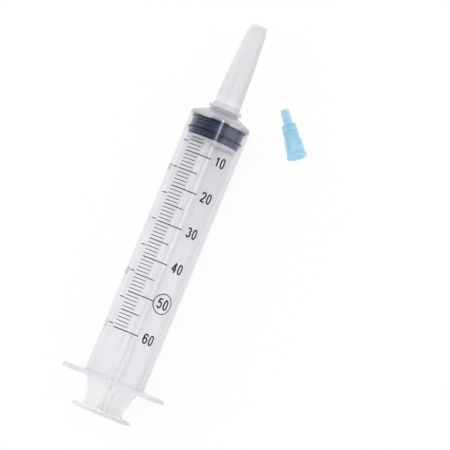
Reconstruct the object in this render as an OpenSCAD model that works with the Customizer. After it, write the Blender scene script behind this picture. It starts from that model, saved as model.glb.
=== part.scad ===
// Irrigation syringe with a catheter tip, lying on its side, its tip protector
// fitted and its tube adapter beside it. The syringe's axis runs along +X
// towards the tip, +Z is up, and the origin is on the finger flange's lower
// flat, in the middle of the flange's thickness. Millimetres.

/* [Barrel] */
// Diameter of the bore
bore_d = 26.8; // [24:0.1:32]
// Thickness of the barrel's wall
barrel_wall = 1.4; // [1:0.1:2]
// Middle of the flange to the corner where barrel and shoulder meet
barrel_len = 133.5; // [100:0.5:150]
// Lean of the shoulder's cone from square to the axis, in degrees
shoulder_lean = 24; // [15:1:35]
// Thickness of the shoulder's wall
shoulder_wall = 1.5; // [1:0.1:2.5]
// Rounding of the corner between barrel and shoulder
shoulder_round = 2; // [1:0.1:3]
// Chamfer round the open end of the bore
mouth_chamfer = 0.5; // [0.2:0.1:0.8]
// Height of the bead that keeps the seal in the bore
bead_height = 0.3; // [0.1:0.05:0.5]
// Length of that bead along the bore
bead_len = 1.6; // [1:0.1:3]
// Middle of the flange to the middle of the bead
bead_reach = 7.8; // [5:0.1:12]

/* [Finger flange] */
// Width across the two wings
flange_span = 51.2; // [44:0.2:60]
// Rise of each flat above the barrel
flat_rise = 1.1; // [0.6:0.1:4]
// Thickness of the wings
flange_t = 1.9; // [1.4:0.1:3]
// Extra thickness at the flange's root, on the side of the tip
root_rise = 0.65; // [0.3:0.05:1.5]
// Reach of that extra thickness from the barrel
root_reach = 5.7; // [2.5:0.1:8]
// Rounding of the wings' rim
flange_round = 0.6; // [0.2:0.1:0.69]

/* [Catheter tip] */
// Length of the tip beyond its root on the shoulder
tip_len = 37.5; // [30:0.5:42]
// Outer diameter at the root
tip_root_d = 9.2; // [7.5:0.1:10]
// Outer diameter at the end
tip_end_d = 4.9; // [4.2:0.1:6]
// Diameter of the passage at the end
tip_bore_d = 3; // [2:0.1:3.4]
// Length of the passage's straight stretch, back from the end
tip_bore_len = 12; // [6:0.5:20]
// Diameter of the passage where it leaves the barrel
tip_port_d = 5.4; // [4:0.1:6]
// Chamfer round the tip's end
tip_chamfer = 0.4; // [0.1:0.1:0.5]

/* [Plunger rod] */
// Clearance between the ribs and the bore
rib_clear = 1; // [0.6:0.05:3]
// Thickness of a rib
rib_t = 1.8; // [1.2:0.1:2.6]
// Diameter of the round core that the ribs cross at
core_d = 4.2; // [3:0.1:7]
// Width across opposite ribs where they are narrowest
waist_span = 18.5; // [14:0.1:19.5]
// Straight stretch of the waist, from its fillet to where the ribs flare
waist_len = 0.2; // [0.1:0.1:3]
// Back of the flange to the thumb rest's outer face
thumb_reach = 15.1; // [13:0.1:20]
// Diameter of the thumb rest
thumb_d = 29.4; // [26:0.1:31]
// Thickness of the thumb rest
thumb_t = 1.8; // [1.4:0.1:2.6]
// Rounding of the thumb rest's rim
thumb_round = 0.7; // [0.3:0.1:0.7]
// Fillet between the ribs and the thumb rest
thumb_fillet = 2.2; // [0.8:0.1:2.6]
// Thickness of the disc that pushes the seal
push_t = 1.5; // [1:0.1:2.5]

/* [Seal joint] */
// Thickness of the lip that the rod's head snaps behind
lip_t = 2; // [1.5:0.1:2.5]
// Diameter of the rod's neck through the lip
neck_d = 9.6; // [8:0.1:11]
// Diameter of the rod's head behind the lip
head_d = 15; // [13:0.1:17]
// Length of the rod's head
head_len = 4; // [3:0.1:4.4]
// Diameter of the flat front of the rod's head
head_front_d = 9; // [6:0.1:11]
// Clearance round the head and neck, and behind the seal
joint_gap = 0.25; // [0.15:0.05:0.3]

/* [Plunger seal] */
// Scale's zero, where the front ring ends, back from the barrel's corner
seal_stop = 2.3; // [1.6:0.1:6]
// Length of the seal from its back to the front ring's edge
seal_len = 8.8; // [8.6:0.1:10]
// Length of each sealing ring along the bore
ring_len = 1.2; // [0.8:0.1:1.8]
// Front edge of one ring to the front edge of the other
ring_step = 5.3; // [4:0.1:5.6]
// Depth of the groove between the rings
groove_depth = 0.5; // [0.3:0.05:0.8]
// Drop of the tapered skirt behind the back ring
skirt_drop = 0.9; // [0.4:0.1:1.2]
// Running clearance between a ring and the bore
ring_clear = 0.05; // [0.02:0.01:0.08]
// Rise of the seal's face from its rim to its nose
face_rise = 1.1; // [0.6:0.1:1.5]
// Diameter of the nose's foot on the seal's face
nose_foot_d = 10.6; // [9:0.1:12]
// Diameter of the nose's flat top
nose_top_d = 6; // [4:0.1:7]
// Height of the nose above the seal's face
nose_height = 2.4; // [1.5:0.1:2.6]

/* [Tip protector] */
// Room between the catheter tip's end and the closed end
cap_room = 4.67; // [3.8:0.01:10]
// Diameter of the base flange
cap_flange_d = 16.1; // [14.5:0.1:18]
// Thickness of the base flange
cap_flange_t = 1.4; // [1:0.1:2.4]
// Outer diameter just above the base flange
cap_base_d = 13.2; // [12.8:0.1:14]
// Outer diameter at the knee where the steeper taper starts
cap_knee_d = 11.7; // [11.4:0.1:12.4]
// Base to the knee
cap_knee_reach = 23; // [18:0.5:26]
// Outer diameter where the end starts to draw in
cap_end_d = 9.3; // [9:0.1:10]
// Outer diameter of the closed end's flat
cap_top_d = 7.3; // [6.5:0.1:8]
// Length of the drawn-in end
cap_nose_len = 3.6; // [2.5:0.1:4]
// Wall of the protector
cap_wall = 1.1; // [0.8:0.05:1.3]
// Thickness of the closed end
cap_end_t = 1.2; // [0.8:0.1:1.4]
// Length of the land that grips the catheter tip
cap_land_len = 3.2; // [2:0.1:5]
// Chamfer that leads the tip into the land
cap_lead = 0.7; // [0.4:0.05:0.8]
// Clearance between the land and the tip, and over the shoulder
cap_clear = 0.15; // [0.08:0.01:0.2]

/* [Tube adapter] */
// Overall length
adapter_len = 24.2; // [22:0.1:28]
// Diameter of the small taper at its end
luer_end_d = 3.93; // [3.6:0.01:4.2]
// Length of the small taper
luer_len = 7.6; // [7:0.1:9]
// Growth of the small taper's diameter for each unit of length
luer_taper = 0.06; // [0.04:0.005:0.08]
// Diameter of the passage through the small taper
lumen_d = 2.1; // [1.6:0.1:2.6]
// Diameter of the collar at its front edge
collar_front_d = 6.6; // [6.2:0.1:6.8]
// Diameter of the collar behind its grooves
collar_d = 7.2; // [7:0.1:7.6]
// Length of the collar
collar_len = 6; // [5.6:0.1:7]
// Width of each groove round the collar
collar_groove_w = 0.5; // [0.3:0.05:0.7]
// Depth of those grooves
collar_groove_depth = 0.2; // [0.1:0.05:0.3]
// Diameter of the body where it rises from the collar
body_front_d = 8.2; // [8:0.1:8.6]
// Diameter of the body at the foot of the rim's flare
body_back_d = 8.9; // [8.7:0.1:9.3]
// Diameter of the rim
rim_d = 9.7; // [9.6:0.1:11]
// Length of the rim
rim_len = 1.4; // [1:0.1:2]
// Rounding of the rim's edge
rim_round = 0.35; // [0.2:0.05:0.5]
// Diameter of the socket at its mouth
socket_mouth_d = 7.1; // [6.4:0.1:7.4]
// Diameter of the socket at its bottom
socket_bottom_d = 5.5; // [5:0.1:5.6]
// Depth of the socket
socket_depth = 13; // [11:0.1:13.6]

/* [Layout] */
// Flange to the middle of the adapter's mouth, along the syringe
adapter_x = 131.1; // [120:0.1:160]
// Syringe's axis to the middle of the adapter's mouth, sideways
adapter_y = -39.2; // [-80:0.1:-36]
// Turn of the adapter from the syringe's direction, in degrees
adapter_turn = 37.1; // [-20:0.1:45]

/* [Hidden] */

facets = 64;
arc_steps = 6;
overrun = 1;

// Heights and radii of the barrel, measured along and from its axis
bore_r = bore_d / 2;
barrel_r = bore_r + barrel_wall;
axis_height = barrel_r + flat_rise;
flange_back = -flange_t / 2;
flange_front = flange_t / 2;
shoulder_slope = tan(shoulder_lean);
function shoulder_at(r) = barrel_len + (barrel_r - r) * shoulder_slope;
function shoulder_inside_at(r) = shoulder_at(r) - shoulder_wall / cos(shoulder_lean);
tip_root_r = tip_root_d / 2;
tip_root = shoulder_at(tip_root_r);
tip_end = tip_root + tip_len;
function tip_r_at(x) = tip_root_r - (tip_root_r - tip_end_d / 2) * (x - tip_root) / tip_len;
bore_end = shoulder_inside_at(bore_r);
port_start = shoulder_inside_at(tip_port_d / 2);

// Places of the seal and the rod along the bore, with the plunger pushed home
head_rim_share = 0.25;
seal_front = barrel_len - seal_stop;
seal_back = seal_front - seal_len;
ring_r = bore_r - ring_clear;
groove_r = ring_r - groove_depth;
skirt_r = groove_r - skirt_drop + groove_depth;
back_ring_front = seal_front - ring_step;
nose_foot = seal_front + face_rise;
cavity_back = seal_back + lip_t;
cavity_front = cavity_back + head_len + 2 * joint_gap;
push_front = seal_back - joint_gap;
push_back = push_front - push_t;
rib_r = bore_r - rib_clear;
head_back = cavity_back + joint_gap;
head_front = head_back + head_len;
thumb_back = flange_back - thumb_reach;
thumb_front = thumb_back + thumb_t;
waist = thumb_front + thumb_fillet + waist_len;

// Places along the tip protector and along the adapter from its mouth
cap_base = shoulder_at(cap_land_r_at(tip_root) + cap_lead) + cap_clear;
function cap_land_r_at(x) = tip_r_at(x) + cap_clear;
cap_inside_end = tip_end + cap_room;
cap_end = cap_inside_end + cap_end_t;
cap_nose = cap_end - cap_nose_len;
cap_knee = cap_base + cap_knee_reach;
cap_land_start = cap_base + cap_lead;
cap_land_end = cap_land_start + cap_land_len;
collar_front = adapter_len - luer_len;
collar_back = collar_front - collar_len;
luer_root_d = luer_end_d + luer_taper * luer_len;
groove_shares = [0.25, 0.55];
body_rise_share = 0.35;
body_rise_len = body_rise_share * collar_len;
flare_foot = rim_len + (rim_d - body_back_d);

// The adapter rests on its rim and on the widest edge of its collar
collar_wide = collar_front - collar_len / 2;
adapter_lean = atan((rim_d - collar_d) / 2 / (collar_wide - rim_len));
mouth_height = rim_d / 2 * cos(adapter_lean) + rim_len * sin(adapter_lean);

// Points of an arc round a centre, from one angle to another
function arc(centre, r, from, to, steps = arc_steps) =
    [for (i = [0 : steps]) let (a = from + (to - from) * i / steps)
        centre + r * [cos(a), sin(a)]];

// Stands a form made along +Z on the syringe's axis
module on_axis() {
    translate([0, 0, axis_height]) rotate([0, 90, 0]) children();
}

// Solid turned from an outline of [radius, place along the axis]
module turned(outline) {
    rotate_extrude($fn = facets) polygon(outline);
}

// Barrel: tube, shoulder and catheter tip turned in one, with the flange round
// its open end. The flange is a turned disc cut by two flats.
module barrel() {
    round_back = shoulder_round * tan((90 - shoulder_lean) / 2);
    round_centre = [barrel_r - shoulder_round, barrel_len - round_back];
    outside = concat(
        [[tip_end_d / 2 - tip_chamfer, tip_end],
         [tip_r_at(tip_end - tip_chamfer), tip_end - tip_chamfer],
         [tip_root_r, tip_root]],
        arc(round_centre, shoulder_round, 90 - shoulder_lean, 0),
        [[barrel_r, flange_back]]);
    inside = [
        [bore_r + mouth_chamfer, flange_back],
        [bore_r, flange_back + mouth_chamfer],
        [bore_r, bead_reach - bead_len / 2],
        [bore_r - bead_height, bead_reach - bead_len / 4],
        [bore_r - bead_height, bead_reach + bead_len / 4],
        [bore_r, bead_reach + bead_len / 2],
        [bore_r, bore_end],
        [tip_port_d / 2, port_start],
        [tip_bore_d / 2, tip_end - tip_bore_len],
        [tip_bore_d / 2, tip_end]];
    color("gainsboro", 0.5) on_axis() union() {
        turned(concat(outside, inside));
        intersection() {
            turned(flange_outline());
            cube([2 * axis_height, flange_span + overrun, 2 * barrel_r], center = true);
        }
    }
}

function flange_outline() = let (
        rim = flange_span / 2,
        seat = bore_r + barrel_wall / 2)
    concat(
        [[seat, flange_back]],
        arc([rim - flange_round, flange_back + flange_round], flange_round, -90, 0),
        arc([rim - flange_round, flange_front - flange_round], flange_round, 0, 90),
        [[barrel_r + root_reach, flange_front],
         [barrel_r, flange_front + root_rise],
         [seat, flange_front + root_rise]]);

// Plunger rod: four ribs round a core, from the thumb rest to the disc that
// pushes the seal, with the head that the seal snaps over
module plunger_rod() {
    color("whitesmoke", 0.6) on_axis() union() {
        for (turn = [0, 90]) rotate([0, 0, turn]) rib_pair();
        translate([0, 0, thumb_front - overrun])
            cylinder(h = push_back - thumb_front + 2 * overrun, d = core_d, $fn = facets);
        thumb_rest();
        turned(head_outline());
    }
}

// Two opposite ribs as one plate, drawn in towards the waist by the thumb rest
module rib_pair() {
    side = concat(
        [[rib_r, push_back + push_t / 2],
         [rib_r, flange_back],
         [waist_span / 2, waist]],
        arc([waist_span / 2 + thumb_fillet, thumb_front + thumb_fillet],
            thumb_fillet, 180, 270),
        [[waist_span / 2 + thumb_fillet, thumb_front - thumb_t / 2]]);
    outline = concat(side, [for (i = [len(side) - 1 : -1 : 0]) [-side[i][0], side[i][1]]]);
    rotate([90, 0, 0]) linear_extrude(height = rib_t, center = true) polygon(outline);
}

module thumb_rest() {
    rim = thumb_d / 2;
    turned(concat(
        [[0, thumb_back]],
        arc([rim - thumb_round, thumb_back + thumb_round], thumb_round, -90, 0),
        arc([rim - thumb_round, thumb_front - thumb_round], thumb_round, 0, 90),
        [[0, thumb_front]]));
}

function head_outline() = [
    [0, push_back],
    [rib_r, push_back],
    [rib_r, push_front],
    [neck_d / 2, push_front],
    [neck_d / 2, head_back],
    [head_d / 2, head_back],
    [head_d / 2, head_back + head_rim_share * head_len],
    [head_front_d / 2, head_front],
    [0, head_front]];

// Seal: two rings that run in the bore, a groove between them, a skirt that
// tapers back, and a low nose. Its cavity holds the rod's head behind a lip.
module plunger_seal() {
    outside = [
        [nose_foot_d / 2, nose_foot],
        [groove_r, seal_front],
        [ring_r, seal_front],
        [ring_r, seal_front - ring_len],
        [groove_r, seal_front - ring_len - groove_depth],
        [groove_r, back_ring_front + groove_depth],
        [ring_r, back_ring_front],
        [ring_r, back_ring_front - ring_len],
        [groove_r, back_ring_front - ring_len - groove_depth],
        [skirt_r, seal_back]];
    inside = [
        [neck_d / 2 + joint_gap, seal_back],
        [neck_d / 2 + joint_gap, cavity_back],
        [head_d / 2 + joint_gap, cavity_back],
        [head_d / 2 + joint_gap, cavity_back + head_rim_share * head_len + 2 * joint_gap],
        [head_front_d / 2 + joint_gap, cavity_front],
        [0, cavity_front]];
    nose = [
        [0, nose_foot + nose_height],
        [nose_top_d / 2, nose_foot + nose_height]];
    color("midnightblue") on_axis() turned(concat(nose, outside, inside));
}

// Tip protector: a closed tapered cap with a base flange. A land inside its
// base grips the catheter tip, and the rest of its wall stands clear.
module tip_protector() {
    outside = [
        [0, cap_end],
        [cap_top_d / 2, cap_end],
        [cap_end_d / 2, cap_nose],
        [cap_knee_d / 2, cap_knee],
        [cap_base_d / 2, cap_base + cap_flange_t],
        [cap_flange_d / 2, cap_base + cap_flange_t],
        [cap_flange_d / 2, cap_base]];
    inside = [
        [cap_land_r_at(cap_land_start) + cap_lead, cap_base],
        [cap_land_r_at(cap_land_start), cap_land_start],
        [cap_land_r_at(cap_land_end), cap_land_end],
        [cap_base_d / 2 - cap_wall, cap_land_end + cap_wall],
        [cap_knee_d / 2 - cap_wall, cap_knee],
        [cap_end_d / 2 - cap_wall, cap_nose],
        [cap_top_d / 2 - cap_wall / 2, cap_inside_end],
        [0, cap_inside_end]];
    color("lightgray", 0.7) on_axis() turned(concat(outside, inside));
}

// Tube adapter: a tapered socket that fits the catheter tip, a grooved collar
// and a small taper that takes narrow tubing, with a passage right through
module tube_adapter() {
    rim = rim_d / 2;
    grooves = [for (share = groove_shares) each collar_groove(share)];
    outside = concat(
        arc([rim - rim_round, rim_round], rim_round, -90, 0),
        [[rim, rim_len],
         [body_back_d / 2, flare_foot],
         [body_front_d / 2, collar_back - body_rise_len],
         [collar_d / 2, collar_back]],
        [for (i = [len(grooves) - 1 : -1 : 0]) grooves[i]],
        [[collar_front_d / 2, collar_front],
         [luer_root_d / 2, collar_front],
         [luer_end_d / 2, adapter_len]]);
    inside = [
        [lumen_d / 2, adapter_len],
        [lumen_d / 2, socket_depth],
        [socket_bottom_d / 2, socket_depth],
        [socket_mouth_d / 2, 0]];
    color("skyblue", 0.8)
        translate([adapter_x, adapter_y, mouth_height])
            rotate([0, 90 + adapter_lean, adapter_turn])
                turned(concat(outside, inside));
}

// Outer radius of the collar, which tapers over its front half
function collar_r_at(z) = z <= collar_wide ? collar_d / 2
    : collar_d / 2 - (collar_d - collar_front_d) / 2 * (z - collar_wide) / (collar_front - collar_wide);

// One groove round the collar, from its front edge back, at a share of the
// collar's length behind the front
function collar_groove(share) = let (
        front = collar_front - share * collar_len,
        back = front - collar_groove_w)
    [[collar_r_at(front), front],
     [collar_r_at(front) - collar_groove_depth, front],
     [collar_r_at(back) - collar_groove_depth, back],
     [collar_r_at(back), back]];

barrel();
plunger_rod();
plunger_seal();
tip_protector();
tube_adapter();
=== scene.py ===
"""Irrigation syringe with its tip protector on and its tube adapter beside it.

The solids come packed from the CAD model. This script gives them their
finishes, prints the scale on the barrel, and sets the light and the camera.
Everything is in metres, with the syringe's axis along +X and +Z up.
"""
from math import atan, cos, pi, radians, sin

import bpy
import numpy as np
from mathutils import Matrix, Vector


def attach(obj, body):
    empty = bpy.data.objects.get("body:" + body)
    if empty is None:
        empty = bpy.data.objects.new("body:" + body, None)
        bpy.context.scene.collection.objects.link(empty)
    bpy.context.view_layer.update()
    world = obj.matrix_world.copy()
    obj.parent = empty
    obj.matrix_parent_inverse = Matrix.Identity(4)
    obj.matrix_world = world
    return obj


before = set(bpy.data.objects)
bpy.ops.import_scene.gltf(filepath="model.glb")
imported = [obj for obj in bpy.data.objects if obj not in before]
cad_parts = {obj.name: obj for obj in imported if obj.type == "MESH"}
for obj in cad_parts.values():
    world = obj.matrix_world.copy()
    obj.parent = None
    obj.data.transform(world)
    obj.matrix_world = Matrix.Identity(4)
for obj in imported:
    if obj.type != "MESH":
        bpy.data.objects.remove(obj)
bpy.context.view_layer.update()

# Camera
# The photograph was taken from straight above, a little off towards the side
# with the numbers, and from about a metre away. The camera's place and turn
# come from fitting known points of the syringe to their pixels.
IMAGE_PX = 450
FOCAL_PX = 2346.4
CAMERA_AIM = Vector((0.088207, -0.020497, 0.0159))
CAMERA_DISTANCE = 1.1
CAMERA_LEAN = Vector((-0.0569, -0.1048, 1.0))
CAMERA_ROLL = -0.3881
NEAREST, FARTHEST = 0.01, 20

towards_camera = CAMERA_LEAN.normalized()
level_up = (Vector((1, 0, 0)) - towards_camera * towards_camera.x).normalized()
level_right = level_up.cross(towards_camera)
camera_up = level_up * cos(CAMERA_ROLL) + level_right * sin(CAMERA_ROLL)
camera_right = camera_up.cross(towards_camera)

camera_data = bpy.data.cameras.new("camera")
camera_data.angle = 2 * atan(IMAGE_PX / 2 / FOCAL_PX)
camera_data.clip_start = NEAREST
camera_data.clip_end = FARTHEST
camera = bpy.data.objects.new("camera", camera_data)
camera.matrix_world = Matrix.Translation(CAMERA_AIM + towards_camera * CAMERA_DISTANCE) @ Matrix(
    (camera_right, camera_up, towards_camera)).transposed().to_4x4()
bpy.context.scene.collection.objects.link(camera)
bpy.context.scene.camera = camera

# Light and floor
# A plain white table under a bright tent. Two narrow lamps in line draw the
# thin bright line on the gloss, the one over the tube much fainter. Wide ones
# fill from both sides, and one more on the right shows only as gloss.
TENT_STRENGTH = 1.0
TENT_WHITE = 1.0
FLOOR_SIZE = 4.0
FLOOR_COLOUR = (0.9, 0.9, 0.9)
FLOOR_WHITE = 0.92
SYRINGE_MIDDLE = Vector((0.08, 0, 0.016))
LAMPS = {
    "line_lamp": dict(length=0.185, width=0.03, place=(0.316, -0.335, 1.2), radiance=200, in_matt=False),
    "line_tail": dict(length=0.25, width=0.03, place=(0.0985, -0.335, 1.2), radiance=7, in_matt=False),
    "left_lamp": dict(length=1.2, width=0.8, place=(0, 1, 0.8), radiance=1.1),
    "right_lamp": dict(length=1.2, width=0.8, place=(0.08, -1, 0.6), radiance=0.15, in_gloss=False),
    "right_gloss": dict(length=1.2, width=1.0, place=(0.08, -0.918, 0.484), radiance=3.4, in_matt=False),
}


def worked_out(tree, operation, *values):
    """Output of a maths node fed with these numbers and sockets."""
    node = tree.nodes.new("ShaderNodeMath")
    node.operation = operation
    for socket, value in zip(node.inputs, values):
        if isinstance(value, (int, float)):
            socket.default_value = value
        else:
            tree.links.new(value, socket)
    return node.outputs[0]


def mixed(tree, first, second, share):
    """Mix of two shaders."""
    mix = tree.nodes.new("ShaderNodeMixShader")
    tree.links.new(share, mix.inputs[0])
    tree.links.new(first.outputs[0], mix.inputs[1])
    tree.links.new(second.outputs[0], mix.inputs[2])
    return mix


def show(tree, shader, output="Material Output"):
    """Makes a shader the one that shows."""
    tree.links.new(shader.outputs[0], tree.nodes[output].inputs["Surface"])


def see_white(tree, plain, white, to_camera):
    """Shader that is white in gloss and through clear plastic, white to the
    camera by a share, and plain for all other light."""
    path = tree.nodes.new("ShaderNodeLightPath")
    seen = worked_out(tree, "MULTIPLY", path.outputs["Is Camera Ray"], to_camera)
    seen = worked_out(tree, "MAXIMUM", seen, path.outputs["Is Transmission Ray"])
    seen = worked_out(tree, "MAXIMUM", seen, path.outputs["Is Glossy Ray"])
    return mixed(tree, plain, white, seen)


def lamp(name, length, width, place, radiance, in_gloss=True, in_matt=True):
    """Rectangular lamp, long along X, that faces the syringe. Its face has the
    given radiance, where 1 is white, so its power is 4 * radiance * area. It
    may be left out of gloss, or out of matt light."""
    light = bpy.data.lights.new(name, "AREA")
    light.shape = "RECTANGLE"
    light.size, light.size_y = length, width
    light.energy = 4 * radiance * length * width
    stand = bpy.data.objects.new(name, light)
    back = (Vector(place) - SYRINGE_MIDDLE).normalized()
    along = (Vector((1, 0, 0)) - back * back.x).normalized()
    turn = Matrix((along, back.cross(along), back)).transposed().to_4x4()
    stand.matrix_world = Matrix.Translation(place) @ turn
    stand.visible_glossy = in_gloss
    stand.visible_diffuse = in_matt
    stand.visible_transmission = in_matt
    bpy.context.scene.collection.objects.link(stand)


def new_piece(name, points, faces, paint):
    """Object made of these points and faces, with its material."""
    mesh = bpy.data.meshes.new(name)
    mesh.from_pydata(points.tolist(), [], faces)
    mesh.materials.append(paint)
    piece = bpy.data.objects.new(name, mesh)
    bpy.context.scene.collection.objects.link(piece)
    return piece


bpy.context.scene.view_settings.view_transform = "Standard"
world = bpy.data.worlds.new("tent")
bpy.context.scene.world = world
world.use_nodes = True
tree = world.node_tree
tent = tree.nodes["Background"]
tent.inputs["Color"].default_value = (1, 1, 1, 1)
tent.inputs["Strength"].default_value = TENT_STRENGTH
white_beyond = tree.nodes.new("ShaderNodeBackground")
white_beyond.inputs["Color"].default_value = (1, 1, 1, 1)
show(tree, see_white(tree, tent, white_beyond, TENT_WHITE), "World Output")

floor_paint = bpy.data.materials.new("white_table")
floor_paint.use_nodes = True
tree = floor_paint.node_tree
floor_matt = tree.nodes["Principled BSDF"]
floor_matt.inputs["Base Color"].default_value = (*FLOOR_COLOUR, 1)
floor_matt.inputs["Roughness"].default_value = 0.9
floor_matt.inputs["Specular IOR Level"].default_value = 0
show(tree, see_white(tree, floor_matt, tree.nodes.new("ShaderNodeEmission"), FLOOR_WHITE))
floor_corners = np.array([(-1, -1, 0), (1, -1, 0), (1, 1, 0), (-1, 1, 0)]) * FLOOR_SIZE / 2
floor = new_piece("floor", floor_corners, [(0, 1, 2, 3)], floor_paint)

for name, settings in LAMPS.items():
    lamp(name, **settings)

# Barrel
# One moulding of milky polypropylene, clear enough to show the rubber seal as
# if through frosted glass. It is cloudier where it is seen at a slant, and at
# the flange, the shoulder and the tip, where it is thick.
AXIS_HEIGHT = 0.0159
MILKY = (0.76, 0.765, 0.795)
MILKY_INSIDE = (0.72, 0.725, 0.78)
MILKY_THICK = (0.57, 0.565, 0.62)
# Painted shade of the dark seal on the wall just in front of it.
MILKY_SEAL_SHADE = (0.45, 0.445, 0.495)
# Painted shade in the tip's root.
ROOT_PAINTED_SHADE = (0.64, 0.625, 0.88)
WALL_CLEAR = (0.979, 0.978, 0.985)
FLANGE_TINT = 0.1
GLOSS_MOST = 0.25
GLOSS_LOSS = 0.6
OUTWARD_LEAN = 0.0001
NOISE_RANGE = (0.3, 0.7)
# In metres, each pair is where a change begins and where it is complete.
SEAL_SHADE_STARTS = (0.1308, 0.1312)
SEAL_SHADE_FADES = (0.1316, 0.1345)
SHOULDER_CLOUDS = (0.1312, 0.132)
TIP_CLEARS = (0.1333, 0.1345)
TIP_CLOUDS = (0.136, 0.137)
ROOT_STARTS = (0.1325, 0.134)
ROOT_ENDS = (0.137, 0.136)
ROOT_RADII = (0.0068, 0.0048)
FLANGE_FACE = (0.0016, 0.001)
GLOSS_DIMS_IN_FRONT = (0.124, 0.118)
GLOSS_DIMS_BEHIND = (0.06, 0.09)
# Clouding of the outer skin and of the haze inside, where 1 hides all behind.
SLANT_POWER = 3.2
SKIN_GAIN, SKIN_MOST = 1.75, 0.9
SHOULDER_SKIN = 0.72
TIP_SKIN = 0.65
CLOUDY_SKIN = 0.8
HAZE_LEAST, HAZE_GAIN, HAZE_MOST = 0.02, 0.7, 0.7
ROOT_SHADE_HAZE = 0.8
FLANGE_VEIL = 0.7


def moulded_ripple():
    """Node group: slow waves that a moulded wall has, as a height in metres,
    and a roughness that wanders about its middle value."""
    group = bpy.data.node_groups.new("moulded_ripple", "ShaderNodeTree")
    for label in ("Wave Length", "Height", "Roughness", "Wander"):
        group.interface.new_socket(label, in_out="INPUT", socket_type="NodeSocketFloat")
    for label in ("Height", "Roughness"):
        group.interface.new_socket(label, in_out="OUTPUT", socket_type="NodeSocketFloat")
    nodes, links = group.nodes, group.links
    given = nodes.new("NodeGroupInput").outputs
    out = nodes.new("NodeGroupOutput").inputs
    place = nodes.new("ShaderNodeTexCoord")
    noise = nodes.new("ShaderNodeTexNoise")
    noise.inputs["Detail"].default_value = 2
    links.new(place.outputs["Object"], noise.inputs["Vector"])
    links.new(worked_out(group, "DIVIDE", 1, given["Wave Length"]), noise.inputs["Scale"])
    links.new(worked_out(group, "MULTIPLY", noise.outputs["Fac"], given["Height"]), out["Height"])
    spread = nodes.new("ShaderNodeMapRange")
    spread.inputs["From Min"].default_value, spread.inputs["From Max"].default_value = NOISE_RANGE
    links.new(noise.outputs["Fac"], spread.inputs["Value"])
    links.new(worked_out(group, "SUBTRACT", given["Roughness"], given["Wander"]), spread.inputs["To Min"])
    links.new(worked_out(group, "ADD", given["Roughness"], given["Wander"]), spread.inputs["To Max"])
    links.new(spread.outputs[0], out["Roughness"])
    return group


ripple_group = moulded_ripple()


def moulded(name, colour, roughness, wander, wave, height):
    """Material of a moulded piece with ripple and wandering roughness."""
    paint = bpy.data.materials.new(name)
    paint.use_nodes = True
    tree = paint.node_tree
    shader = tree.nodes["Principled BSDF"]
    shader.inputs["Base Color"].default_value = (*colour, 1)
    ripple = tree.nodes.new("ShaderNodeGroup")
    ripple.node_tree = ripple_group
    ripple.inputs["Wave Length"].default_value = wave
    ripple.inputs["Height"].default_value = height
    ripple.inputs["Roughness"].default_value = roughness
    ripple.inputs["Wander"].default_value = wander
    bump = tree.nodes.new("ShaderNodeBump")
    bump.inputs["Distance"].default_value = 1
    tree.links.new(ripple.outputs["Height"], bump.inputs["Height"])
    tree.links.new(bump.outputs["Normal"], shader.inputs["Normal"])
    tree.links.new(ripple.outputs["Roughness"], shader.inputs["Roughness"])
    return paint, shader


def product(tree, first, *others):
    """Product of numbers and sockets."""
    for other in others:
        first = worked_out(tree, "MULTIPLY", first, other)
    return first


def eased(tree, value, low, high, to_low=0.0, to_high=1.0):
    """Smooth step of a socket's value, from to_low at low to to_high at high."""
    node = tree.nodes.new("ShaderNodeMapRange")
    node.interpolation_type = "SMOOTHSTEP"
    tree.links.new(value, node.inputs["Value"])
    node.inputs["From Min"].default_value = low
    node.inputs["From Max"].default_value = high
    node.inputs["To Min"].default_value = to_low
    node.inputs["To Max"].default_value = to_high
    return node.outputs[0]


def place_on(tree):
    """Sockets of a point's X, Y and Z on the piece."""
    place = tree.nodes.new("ShaderNodeTexCoord")
    split = tree.nodes.new("ShaderNodeSeparateXYZ")
    tree.links.new(place.outputs["Object"], split.inputs[0])
    return split.outputs


def slant(tree):
    """Socket that grows from 0 where the surface faces the eye to 1 where it
    is seen at a grazing angle."""
    node = tree.nodes.new("ShaderNodeLayerWeight")
    node.inputs["Blend"].default_value = 0.5
    return node.outputs["Facing"]


def outwards(tree):
    """Sockets of a point's distance from the syringe's axis, and of the dot
    product of that way with the surface's normal."""
    _, y, z = place_on(tree)
    radial = tree.nodes.new("ShaderNodeCombineXYZ")
    tree.links.new(y, radial.inputs["Y"])
    tree.links.new(worked_out(tree, "SUBTRACT", z, AXIS_HEIGHT), radial.inputs["Z"])
    surface = tree.nodes.new("ShaderNodeTexCoord")
    lean, length = [tree.nodes.new("ShaderNodeVectorMath") for _ in range(2)]
    lean.operation, length.operation = "DOT_PRODUCT", "LENGTH"
    tree.links.new(radial.outputs[0], length.inputs[0])
    tree.links.new(radial.outputs[0], lean.inputs[0])
    tree.links.new(surface.outputs["Normal"], lean.inputs[1])
    return length.outputs["Value"], lean.outputs["Value"]


def blended(tree, base, other, share):
    """Colour socket that goes from a base colour or socket to another colour
    by a share."""
    mix = tree.nodes.new("ShaderNodeMix")
    mix.data_type = "RGBA"
    if isinstance(base, tuple):
        mix.inputs["A"].default_value = (*base, 1)
    else:
        tree.links.new(base, mix.inputs["A"])
    mix.inputs["B"].default_value = (*other, 1)
    tree.links.new(share, mix.inputs["Factor"])
    return mix.outputs["Result"]


def see_through(tree, colour):
    """Transparent shader, tinted by a colour or by a colour's socket."""
    shader = tree.nodes.new("ShaderNodeBsdfTransparent")
    if isinstance(colour, tuple):
        shader.inputs["Color"].default_value = (*colour, 1)
    else:
        tree.links.new(colour, shader.inputs["Color"])
    return shader


def finish_node(node, paint):
    """Gives a CAD node its material."""
    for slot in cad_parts[node].material_slots:
        slot.material = paint


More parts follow.
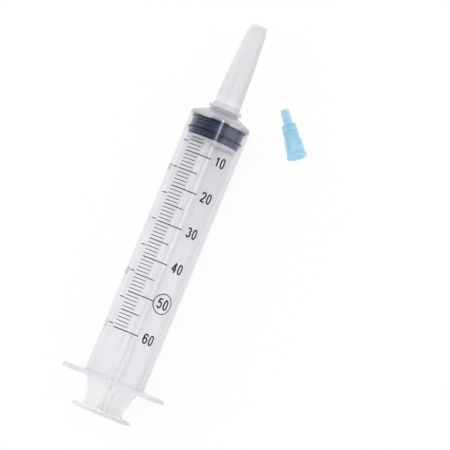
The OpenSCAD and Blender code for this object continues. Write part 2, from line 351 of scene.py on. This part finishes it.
barrel_paint, barrel_shader = moulded("milky_barrel_plastic", MILKY, roughness=0.12, wander=0.04,
                                      wave=0.012, height=0.000002)
barrel_shader.inputs["Specular IOR Level"].default_value = 0.2
tree = barrel_paint.node_tree
along_x = place_on(tree)[0]
from_axis, lean = outwards(tree)
behind = tree.nodes.new("ShaderNodeNewGeometry").outputs["Backfacing"]
in_front = worked_out(tree, "SUBTRACT", 1, behind)
# The normal is turned round behind a face, and this turns it back.
side = worked_out(tree, "SUBTRACT", in_front, behind)
outer = worked_out(tree, "GREATER_THAN", product(tree, lean, side), OUTWARD_LEAN)
inner = worked_out(tree, "SUBTRACT", 1, outer)
# Painted shade: a dark violet patch inside the tip's root, for the shade under the cap's flange and the
# dark passage behind it. The haze inside carries it too.
in_root_shade = product(tree, eased(tree, from_axis, *ROOT_RADII), eased(tree, along_x, *ROOT_STARTS),
                  eased(tree, along_x, *ROOT_ENDS))
colour = blended(tree, MILKY, MILKY_INSIDE, inner)
# Painted shade: the wall is darkened just in front of the seal and lightens again up the shoulder, for
# the shade the dark rubber casts in the plastic.
colour = blended(tree, colour, MILKY_SEAL_SHADE, eased(tree, along_x, *SEAL_SHADE_STARTS))
colour = blended(tree, colour, MILKY_THICK, eased(tree, along_x, *SEAL_SHADE_FADES))
colour = blended(tree, colour, MILKY, eased(tree, along_x, *TIP_CLOUDS))
colour = blended(tree, colour, MILKY_THICK, eased(tree, along_x, *FLANGE_FACE, 0, FLANGE_TINT))
# Painted shade in the tip's root.
colour = blended(tree, colour, ROOT_PAINTED_SHADE, in_root_shade)
tree.links.new(colour, barrel_shader.inputs["Base Color"])
slanted = worked_out(tree, "POWER", slant(tree), SLANT_POWER)
skin = worked_out(tree, "MINIMUM", product(tree, slanted, SKIN_GAIN), SKIN_MOST)
skin = worked_out(tree, "MAXIMUM", skin, eased(tree, along_x, *SHOULDER_CLOUDS, 0, SHOULDER_SKIN))
skin = product(tree, skin, eased(tree, along_x, *TIP_CLEARS, 1, TIP_SKIN))
skin = worked_out(tree, "MAXIMUM", skin, eased(tree, along_x, *TIP_CLOUDS, 0, CLOUDY_SKIN))
haze = worked_out(tree, "ADD", product(tree, slanted, HAZE_GAIN), HAZE_LEAST)
haze = product(tree, worked_out(tree, "MINIMUM", haze, HAZE_MOST), behind)
haze = worked_out(tree, "MAXIMUM", haze, product(tree, in_root_shade, ROOT_SHADE_HAZE))
veil = worked_out(tree, "ADD", product(tree, outer, skin), product(tree, inner, haze))
veil = worked_out(tree, "MAXIMUM", veil, eased(tree, along_x, *FLANGE_FACE, 0, FLANGE_VEIL))
gloss = tree.nodes.new("ShaderNodeBsdfGlossy")
gloss.inputs["Roughness"].default_value = 0.2
fresnel = tree.nodes.new("ShaderNodeFresnel")
fresnel.inputs["IOR"].default_value = 1.31
gloss_share = worked_out(tree, "MINIMUM", fresnel.outputs[0], GLOSS_MOST)
on_tube = product(tree, eased(tree, along_x, *GLOSS_DIMS_IN_FRONT),
                  eased(tree, along_x, *GLOSS_DIMS_BEHIND))
kept = worked_out(tree, "SUBTRACT", 1, product(tree, on_tube, GLOSS_LOSS))
gloss_share = product(tree, gloss_share, outer, in_front, kept)
wall = mixed(tree, see_through(tree, WALL_CLEAR), barrel_shader, veil)
show(tree, mixed(tree, wall, gloss, gloss_share))
finish_node("barrel", barrel_paint)

# Printed scale
# Black ink on the outside of the barrel: a line for each cubic centimetre up
# to 60, plain numbers at the tens with a ring round one of them, and a second
# scale of short marks on the far side. The ink is a film with real thickness.
BORE_RADIUS = 0.0134
BARREL_RADIUS = 0.0148
SCALE_ZERO = 0.131
SCALE_CC = 60
CC_LENGTH = 1e-6 / (pi * BORE_RADIUS ** 2)
OUNCE_CC = 29.5735
INK = (0.016, 0.016, 0.02)
INK_PROUD = 0.00002
INK_SUNK = 0.00001
LINE_START = radians(-35)
LINE_ENDS = {1: radians(-8.2), 5: radians(4.4), 10: radians(16.4)}
LINE_WIDTHS = {1: 0.00033, 5: 0.00045, 10: 0.00048}
LINE_STEP = radians(2)
DIGIT_HEIGHT = 0.0051
DIGIT_WIDTH = 0.0026
DIGIT_GAP = 0.0006
DIGIT_STROKE = 0.0008
NUMBER_LEFT = radians(25.8)
NUMBER_LIFT = 0.0002
ONE_WIDTH = 0.85
RING_MIDDLE = radians(36.8)
RINGED_NUMBER = 50
RING_RADIUS = 0.00478
RING_WIDTH = 0.00045
RING_STEPS = 64
OUNCE_START, OUNCE_END = radians(-52), radians(-38.5)
OUNCE_ZERO = SCALE_ZERO - 0.0002
OUNCE_WIDTH = 0.0004
OUNCE_QUARTERS = 8
OUNCE_LABELS = {2: "1/2", 4: "1", 6: "1 1/2", 8: "2"}
OUNCE_LABEL_END = radians(-57)
OUNCE_LABEL_DROP = 0.0008
OUNCE_DIGIT_HEIGHT = 0.0033
OUNCE_DIGIT_WIDTH = 0.0014
OUNCE_DIGIT_GAP = 0.0003
OUNCE_STROKE = 0.0003
ink_points, ink_faces = [], []


def ink_path(path, width, closed=False):
    """Inks a stroke along a path of [arc, along] points in metres on the
    unrolled barrel. Each point gives a left and a right edge point, half the
    width off along the path's normal. The strip is rolled round the barrel by
    angle = arc / radius, once just proud of the wall and once just sunk in it,
    and the two are closed into a slab."""
    path = np.asarray(path, float)
    step = np.roll(path, -1, 0) - np.roll(path, 1, 0) if closed else np.gradient(path, axis=0)
    normal = np.stack([-step[:, 1], step[:, 0]], 1)
    normal *= width / 2 / np.linalg.norm(normal, axis=1, keepdims=True)
    strip = np.stack([path + normal, path - normal], 1)
    loops = []
    for radius in (BARREL_RADIUS + INK_PROUD, BARREL_RADIUS - INK_SUNK):
        angle = strip[..., 0] / BARREL_RADIUS
        loops.append(np.stack([strip[..., 1], -radius * np.sin(angle),
                               AXIS_HEIGHT + radius * np.cos(angle)], -1))
    corners = np.stack([loops[0][:, 0], loops[0][:, 1], loops[1][:, 1], loops[1][:, 0]], 1)
    count = len(path)
    base = sum(len(block) for block in ink_points)
    ink_points.append(corners.reshape(-1, 3))
    here = base + 4 * np.arange(count if closed else count - 1)
    there = base + 4 * (np.arange(len(here)) + 1) % (4 * count)
    for corner in range(4):
        after = (corner + 1) % 4
        sides = np.stack([here + corner, there + corner, there + after, here + after], 1)
        ink_faces.extend(sides.tolist())
    if not closed:
        last = base + 4 * (count - 1)
        ink_faces.append([base, base + 1, base + 2, base + 3])
        ink_faces.append([last + 3, last + 2, last + 1, last])


def ink_line(from_angle, to_angle, along, width):
    """Inks a line round the barrel at one place along it: arc = angle * radius."""
    count = 2 + int(abs(to_angle - from_angle) / LINE_STEP)
    arc = np.linspace(from_angle, to_angle, count) * BARREL_RADIUS
    ink_path(np.stack([arc, np.full_like(arc, along)], 1), width)


def bow(centre, radii, from_degrees, to_degrees, steps=14):
    """Points of an ellipse's arc: centre + radii * (cos, sin)."""
    angle = np.radians(np.linspace(from_degrees, to_degrees, steps))
    return np.stack([centre[0] + radii[0] * np.cos(angle), centre[1] + radii[1] * np.sin(angle)], 1)


def straight(start, end, steps=6):
    """Points of a straight stroke: start * (1 - share) + end * share."""
    share = np.linspace(0, 1, steps)[:, None]
    return np.array(start) * (1 - share) + np.array(end) * share


def squared_oval(steps=32, power=0.8):
    """Points of an oval that fills the box, a little squared off: each
    coordinate's share of the way from the middle is raised to a power."""
    offset = bow((0.5, 0.5), (0.5, 0.5), 0, 360, steps + 1)[:-1] - 0.5
    return 0.5 + np.sign(offset) * (2 * np.abs(offset)) ** power / 2


# Strokes of each figure in a box of 1 by 1, and whether each is closed.
FIGURES = {
    "0": [(squared_oval(), True)],
    "1": [(straight((0.62, 0), (0.62, 1)), False),
          (straight((0.62, 0.96), (0.12, 0.74)), False)],
    "2": [(np.concatenate([bow((0.5, 0.73), (0.48, 0.27), 172, -28),
                           straight((0.84, 0.52), (0.02, 0.03))]), False),
          (straight((-0.16, 0), (1.1, 0)), False)],
    "3": [(np.concatenate([bow((0.48, 0.76), (0.44, 0.24), 160, -88),
                           bow((0.48, 0.27), (0.5, 0.27), 86, -165)]), False)],
    "4": [(straight((0.74, -0.08), (0.74, 1.08)), False),
          (straight((0.7, 1), (-0.02, 0.3)), False),
          (straight((-0.14, 0.28), (1.16, 0.28)), False)],
    "5": [(straight((0.02, 1), (0.98, 1)), False),
          (straight((0.16, 1), (0.06, 0.52)), False),
          (bow((0.46, 0.33), (0.54, 0.33), 148, -155), False)],
    "6": [(bow((0.5, 0.31), (0.5, 0.31), 0, 360, 25)[:-1], True),
          (np.concatenate([bow((0.5, 0.7), (0.5, 0.3), 20, 180),
                           straight((0, 0.62), (0, 0.31))]), False)],
    "/": [(straight((0, 0), (1, 1)), False)],
}


def figure_width(figure, width):
    """Width of one figure, which is less for a 1."""
    return width * ONE_WIDTH if figure == "1" else width


def number_width(text, width, gap):
    """Length of a number along the arc."""
    return sum(figure_width(figure, width) for figure in text) + (len(text) - 1) * gap


def ink_number(text, left, along, height, width, gap, stroke):
    """Writes a number from its left edge, an arc round the barrel, read with
    its top towards the tip. The middle of the stroke fills each figure's box."""
    for figure in text:
        corner = np.array([left + stroke / 2, along - height / 2 + stroke / 2])
        box = np.array([figure_width(figure, width) - stroke, height - stroke])
        for shape, closed in FIGURES.get(figure, []):
            ink_path(corner + shape * box, stroke, closed)
        left += figure_width(figure, width) + gap


for cc in range(1, SCALE_CC + 1):
    size = max(step for step in LINE_ENDS if cc % step == 0)
    along = SCALE_ZERO - cc * CC_LENGTH
    end = LINE_ENDS[size]
    if cc == RINGED_NUMBER:
        end = RING_MIDDLE - RING_RADIUS / BARREL_RADIUS
        middle = (RING_MIDDLE * BARREL_RADIUS, along + NUMBER_LIFT)
        ring = bow(middle, (RING_RADIUS, RING_RADIUS), 0, 360, RING_STEPS + 1)[:-1]
        ink_path(ring, RING_WIDTH, closed=True)
    ink_line(LINE_START, end, along, LINE_WIDTHS[size])
    if size == max(LINE_ENDS):
        ink_number(str(cc), NUMBER_LEFT * BARREL_RADIUS, along + NUMBER_LIFT, DIGIT_HEIGHT, DIGIT_WIDTH,
                   DIGIT_GAP, DIGIT_STROKE)
for quarter in range(1, OUNCE_QUARTERS + 1):
    along = OUNCE_ZERO - quarter / 4 * OUNCE_CC * CC_LENGTH
    ink_line(OUNCE_START, OUNCE_END, along, OUNCE_WIDTH)
    if quarter in OUNCE_LABELS:
        text = OUNCE_LABELS[quarter]
        left = OUNCE_LABEL_END * BARREL_RADIUS - number_width(text, OUNCE_DIGIT_WIDTH, OUNCE_DIGIT_GAP)
        ink_number(text, left, along - OUNCE_LABEL_DROP, OUNCE_DIGIT_HEIGHT, OUNCE_DIGIT_WIDTH,
                   OUNCE_DIGIT_GAP, OUNCE_STROKE)

ink_paint, ink_shader = moulded("scale_ink", INK, roughness=0.5, wander=0.15,
                                wave=0.0004, height=0.000001)
ink_shader.inputs["Specular IOR Level"].default_value = 0.1
printed_scale = new_piece("printed_scale", np.concatenate(ink_points), ink_faces, ink_paint)
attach(printed_scale, "barrel")

# Plunger rod
# One moulding of the same milky plastic, with less gloss, that snaps into the
# seal. Its thumb rest lets no light through, and its core, its head and the
# edges of its ribs outside the barrel let less through than the rest.
ROD_THIN = (0.96, 0.96, 0.975)
# Painted shade: the rod's colour darkens towards the seal.
ROD_PAINTED_SHADE = (0.82, 0.82, 0.84)
ROD_THICK = (0.58, 0.58, 0.595)
ROD_WEB = (0.8, 0.8, 0.82)
ROD_HEAD_SHADE = (0.68, 0.68, 0.7)
ROD_FACE = (0.78, 0.78, 0.795)
ROD_CLEAR = (0.985, 0.985, 0.99)
WEB_CLEAR = (0.95, 0.95, 0.96)
ROD_SHADE_DEEPENS = (0.01, 0.125)
DISC_STARTS = (-0.0132, -0.0137)
HEAD_STARTS = (0.1203, 0.1208)
WEB_STARTS = (-0.0005, -0.002)
FACE_STARTS = (-0.0154, -0.0158)
RIB_EDGE = (0.006, 0.01)
CORE_RADII = (0.0034, 0.0026)
ROD_CLEARNESS = (0.52, 0.42)
CORE_CLEARNESS = 0.45
HEAD_CLEARNESS = 0.6
ROD_SCATTER = 0.004


def scatter(shader, depth, spread=(1, 1, 1)):
    """Lets light into a Principled shader, to a depth for each of red, green
    and blue."""
    shader.inputs["Subsurface Weight"].default_value = 1
    shader.inputs["Subsurface Radius"].default_value = spread
    shader.inputs["Subsurface Scale"].default_value = depth


rod_paint, rod_shader = moulded("milky_rod_plastic", ROD_THIN, roughness=0.45, wander=0.08,
                                wave=0.006, height=0.000002)
scatter(rod_shader, ROD_SCATTER)
rod_shader.inputs["Specular IOR Level"].default_value = 0.1
tree = rod_paint.node_tree
along_x = place_on(tree)[0]
from_axis, lean = outwards(tree)
on_edge = eased(tree, lean, *RIB_EDGE)
on_rim = product(tree, eased(tree, along_x, *DISC_STARTS), on_edge)
on_web = product(tree, eased(tree, along_x, *WEB_STARTS), on_edge)
in_core = eased(tree, from_axis, *CORE_RADII)
# Painted shade: darker towards the seal, except in the core, for the dark seal's shade and the light
# falling off towards the tip.
colour = blended(tree, ROD_THIN, ROD_PAINTED_SHADE, eased(tree, along_x, *ROD_SHADE_DEEPENS))
colour = blended(tree, colour, ROD_THIN, in_core)
# Painted shade: the head just behind the dark seal is darker.
colour = blended(tree, colour, ROD_HEAD_SHADE, eased(tree, along_x, *HEAD_STARTS))
colour = blended(tree, colour, ROD_WEB, on_web)
colour = blended(tree, colour, ROD_FACE, eased(tree, along_x, *FACE_STARTS))
colour = blended(tree, colour, ROD_THICK, on_rim)
tree.links.new(colour, rod_shader.inputs["Base Color"])
# Less clear towards the seal, along with the painted shade.
clearness = product(tree, eased(tree, along_x, *ROD_SHADE_DEEPENS, *ROD_CLEARNESS),
                    eased(tree, from_axis, *CORE_RADII, 1, CORE_CLEARNESS),
                    eased(tree, along_x, *DISC_STARTS, 1, 0),
                    eased(tree, along_x, *HEAD_STARTS, 1, HEAD_CLEARNESS))
rod_clear = see_through(tree, blended(tree, ROD_CLEAR, WEB_CLEAR, on_web))
show(tree, mixed(tree, rod_shader, rod_clear, clearness))
finish_node("plunger_rod", rod_paint)

# Plunger seal
# Moulded rubber with a satin skin, wetted with silicone. It is snapped on the
# rod's head and slides in the bore.
RUBBER = (0.004, 0.009, 0.034)
RUBBER_GLOSS = (0.45, 0.6, 1)
RUBBER_SHEEN = (0.2, 0.3, 1)
seal_paint, seal_shader = moulded("seal_rubber", RUBBER, roughness=0.38, wander=0.1,
                                  wave=0.0015, height=0.000005)
seal_shader.inputs["Specular IOR Level"].default_value = 0.25
seal_shader.inputs["Specular Tint"].default_value = (*RUBBER_GLOSS, 1)
seal_shader.inputs["Sheen Weight"].default_value = 0.3
seal_shader.inputs["Sheen Roughness"].default_value = 0.4
seal_shader.inputs["Sheen Tint"].default_value = (*RUBBER_SHEEN, 1)
finish_node("plunger_seal", seal_paint)

# Seal lips
# The front edge of each rubber ring presses on the bore. There it touches the
# plastic, so it shows as a sharp dark line through the wall.
PRESSED_RUBBER = (0.006, 0.01, 0.022)
LIP_FRONTS = (0.1312, 0.12565)
LIP_LENGTH = 0.0008
LIP_INNER, LIP_OUTER = 0.0133, 0.01343
LIP_STEPS = 126


def turned(profile, steps):
    """Points and faces of a closed ring: each [x, radius] of the profile goes
    round the syringe's axis in steps, and rows and ends both join up."""
    turn = np.linspace(0, 2 * pi, steps, endpoint=False)[:, None]
    along, radius = np.array(profile).T
    points = np.stack([np.broadcast_to(along, (steps, len(along))), -radius * np.sin(turn),
                       AXIS_HEIGHT + radius * np.cos(turn)], -1).reshape(-1, 3)
    width = len(along)
    row, column = np.divmod(np.arange(len(points)), width)
    next_column = (column + 1) % width
    next_row = (row + 1) % steps
    faces = np.stack([row * width + column, row * width + next_column,
                      next_row * width + next_column, next_row * width + column], 1)
    return points, faces


lip_points, lip_faces = [], []
for front in LIP_FRONTS:
    profile = [(front, LIP_INNER), (front, LIP_OUTER), (front - LIP_LENGTH, LIP_OUTER),
               (front - LIP_LENGTH, LIP_INNER)]
    points, faces = turned(profile, LIP_STEPS)
    lip_faces.extend((faces + len(lip_points) * len(points)).tolist())
    lip_points.append(points)
lip_paint, lip_shader = moulded("pressed_rubber", PRESSED_RUBBER, roughness=0.9, wander=0.05,
                                wave=0.0015, height=0.000002)
lip_shader.inputs["Specular IOR Level"].default_value = 0
seal_lips = new_piece("seal_lips", np.concatenate(lip_points), lip_faces, lip_paint)
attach(seal_lips, "seal")

# Tip protector
# A closed cap of cloudy polyethylene, softer and duller than the barrel, that
# is pushed on the tip. Its base flange is darker but clearer, and light falls
# through it on the barrel's shoulder.
CAP_THIN = (0.8, 0.79, 0.83)
CAP_THICK = (0.66, 0.652, 0.69)
CAP_CLEAR = (0.95, 0.95, 0.96)
CAP_FLANGE = (0.1412, 0.1405)
CAP_FOOT = (0.1385, 0.1405)
CAP_BASE = (0.1412, 0.143)
CAP_CLEARNESS = (0.4, 0.15)
CAP_LIGHT = 0.8
CAP_SCATTER = 0.003
cap_paint, cap_shader = moulded("cloudy_cap_plastic", CAP_THIN, roughness=0.38, wander=0.08,
                                wave=0.004, height=0.000005)
scatter(cap_shader, CAP_SCATTER)
cap_shader.inputs["IOR"].default_value = 1.5
cap_shader.inputs["Specular IOR Level"].default_value = 0.4
tree = cap_paint.node_tree
along_x = place_on(tree)[0]
tree.links.new(blended(tree, CAP_THIN, CAP_THICK, eased(tree, along_x, *CAP_FLANGE)),
               cap_shader.inputs["Base Color"])
path = tree.nodes.new("ShaderNodeLightPath")
for_light = worked_out(tree, "MAXIMUM", path.outputs["Is Shadow Ray"], path.outputs["Is Diffuse Ray"])
for_light = product(tree, for_light, eased(tree, along_x, *CAP_BASE, CAP_LIGHT, 0))
clearness = worked_out(tree, "MAXIMUM", eased(tree, along_x, *CAP_FOOT, *CAP_CLEARNESS), for_light)
show(tree, mixed(tree, cap_shader, see_through(tree, CAP_CLEAR), clearness))
finish_node("tip_protector", cap_paint)

# Tube adapter
# A loose moulding of clear light blue plastic with a bright gloss. The thin rim
# of its mouth lets the most light through. Its edges get a painted shade, greyer
# where seen at a slant, and its collar has two bands of deeper blue painted as
# the shade in its grooves.
MOUTH = Vector((0.1311, -0.0392, 0.004967))
INWARDS = Vector((0.79343, 0.60007, -0.10193))
BLUE = (0.53, 0.78, 0.93)
BLUE_GROOVE_SHADE = (0.3, 0.62, 0.87)
BLUE_SLANT_SHADE = (0.42, 0.58, 0.68)
BLUE_CLEAR = (0.8, 0.92, 0.98)
BLUE_SPREAD = (0.6, 0.9, 1)
BLUE_SCATTER = 0.003
SLANT_SHADE_POWER = 3
RIM_ENDS = (0.001, 0.004)
RIM_CLEARNESS = (0.65, 0.5)
GROOVE_SHADE_BANDS = (
    dict(rises=(0.0146, 0.0154), falls=(0.0164, 0.0172), most=0.8),
    dict(rises=(0.0121, 0.0125), falls=(0.0133, 0.0137), most=0.55),
)
adapter_paint, adapter_shader = moulded("blue_adapter_plastic", BLUE, roughness=0.2, wander=0.04,
                                        wave=0.003, height=0.000002)
scatter(adapter_shader, BLUE_SCATTER, BLUE_SPREAD)
adapter_shader.inputs["IOR"].default_value = 1.5
tree = adapter_paint.node_tree
from_mouth = tree.nodes.new("ShaderNodeVectorMath")
from_mouth.operation = "DOT_PRODUCT"
tree.links.new(tree.nodes.new("ShaderNodeTexCoord").outputs["Object"], from_mouth.inputs[0])
from_mouth.inputs[1].default_value = INWARDS
depth = worked_out(tree, "SUBTRACT", from_mouth.outputs["Value"], MOUTH.dot(INWARDS))
colour = BLUE
# Painted shade: two bands of deeper blue at the collar's grooves.
for band in GROOVE_SHADE_BANDS:
    in_groove_shade = product(tree, eased(tree, depth, *band["rises"]),
                      eased(tree, depth, *band["falls"], band["most"], 0))
    colour = blended(tree, colour, BLUE_GROOVE_SHADE, in_groove_shade)
# Painted shade: edges seen at a slant are greyer.
colour = blended(tree, colour, BLUE_SLANT_SHADE, worked_out(tree, "POWER", slant(tree), SLANT_SHADE_POWER))
tree.links.new(colour, adapter_shader.inputs["Base Color"])
show(tree, mixed(tree, adapter_shader, see_through(tree, BLUE_CLEAR),
                 eased(tree, depth, *RIM_ENDS, *RIM_CLEARNESS)))
finish_node("tube_adapter", adapter_paint)
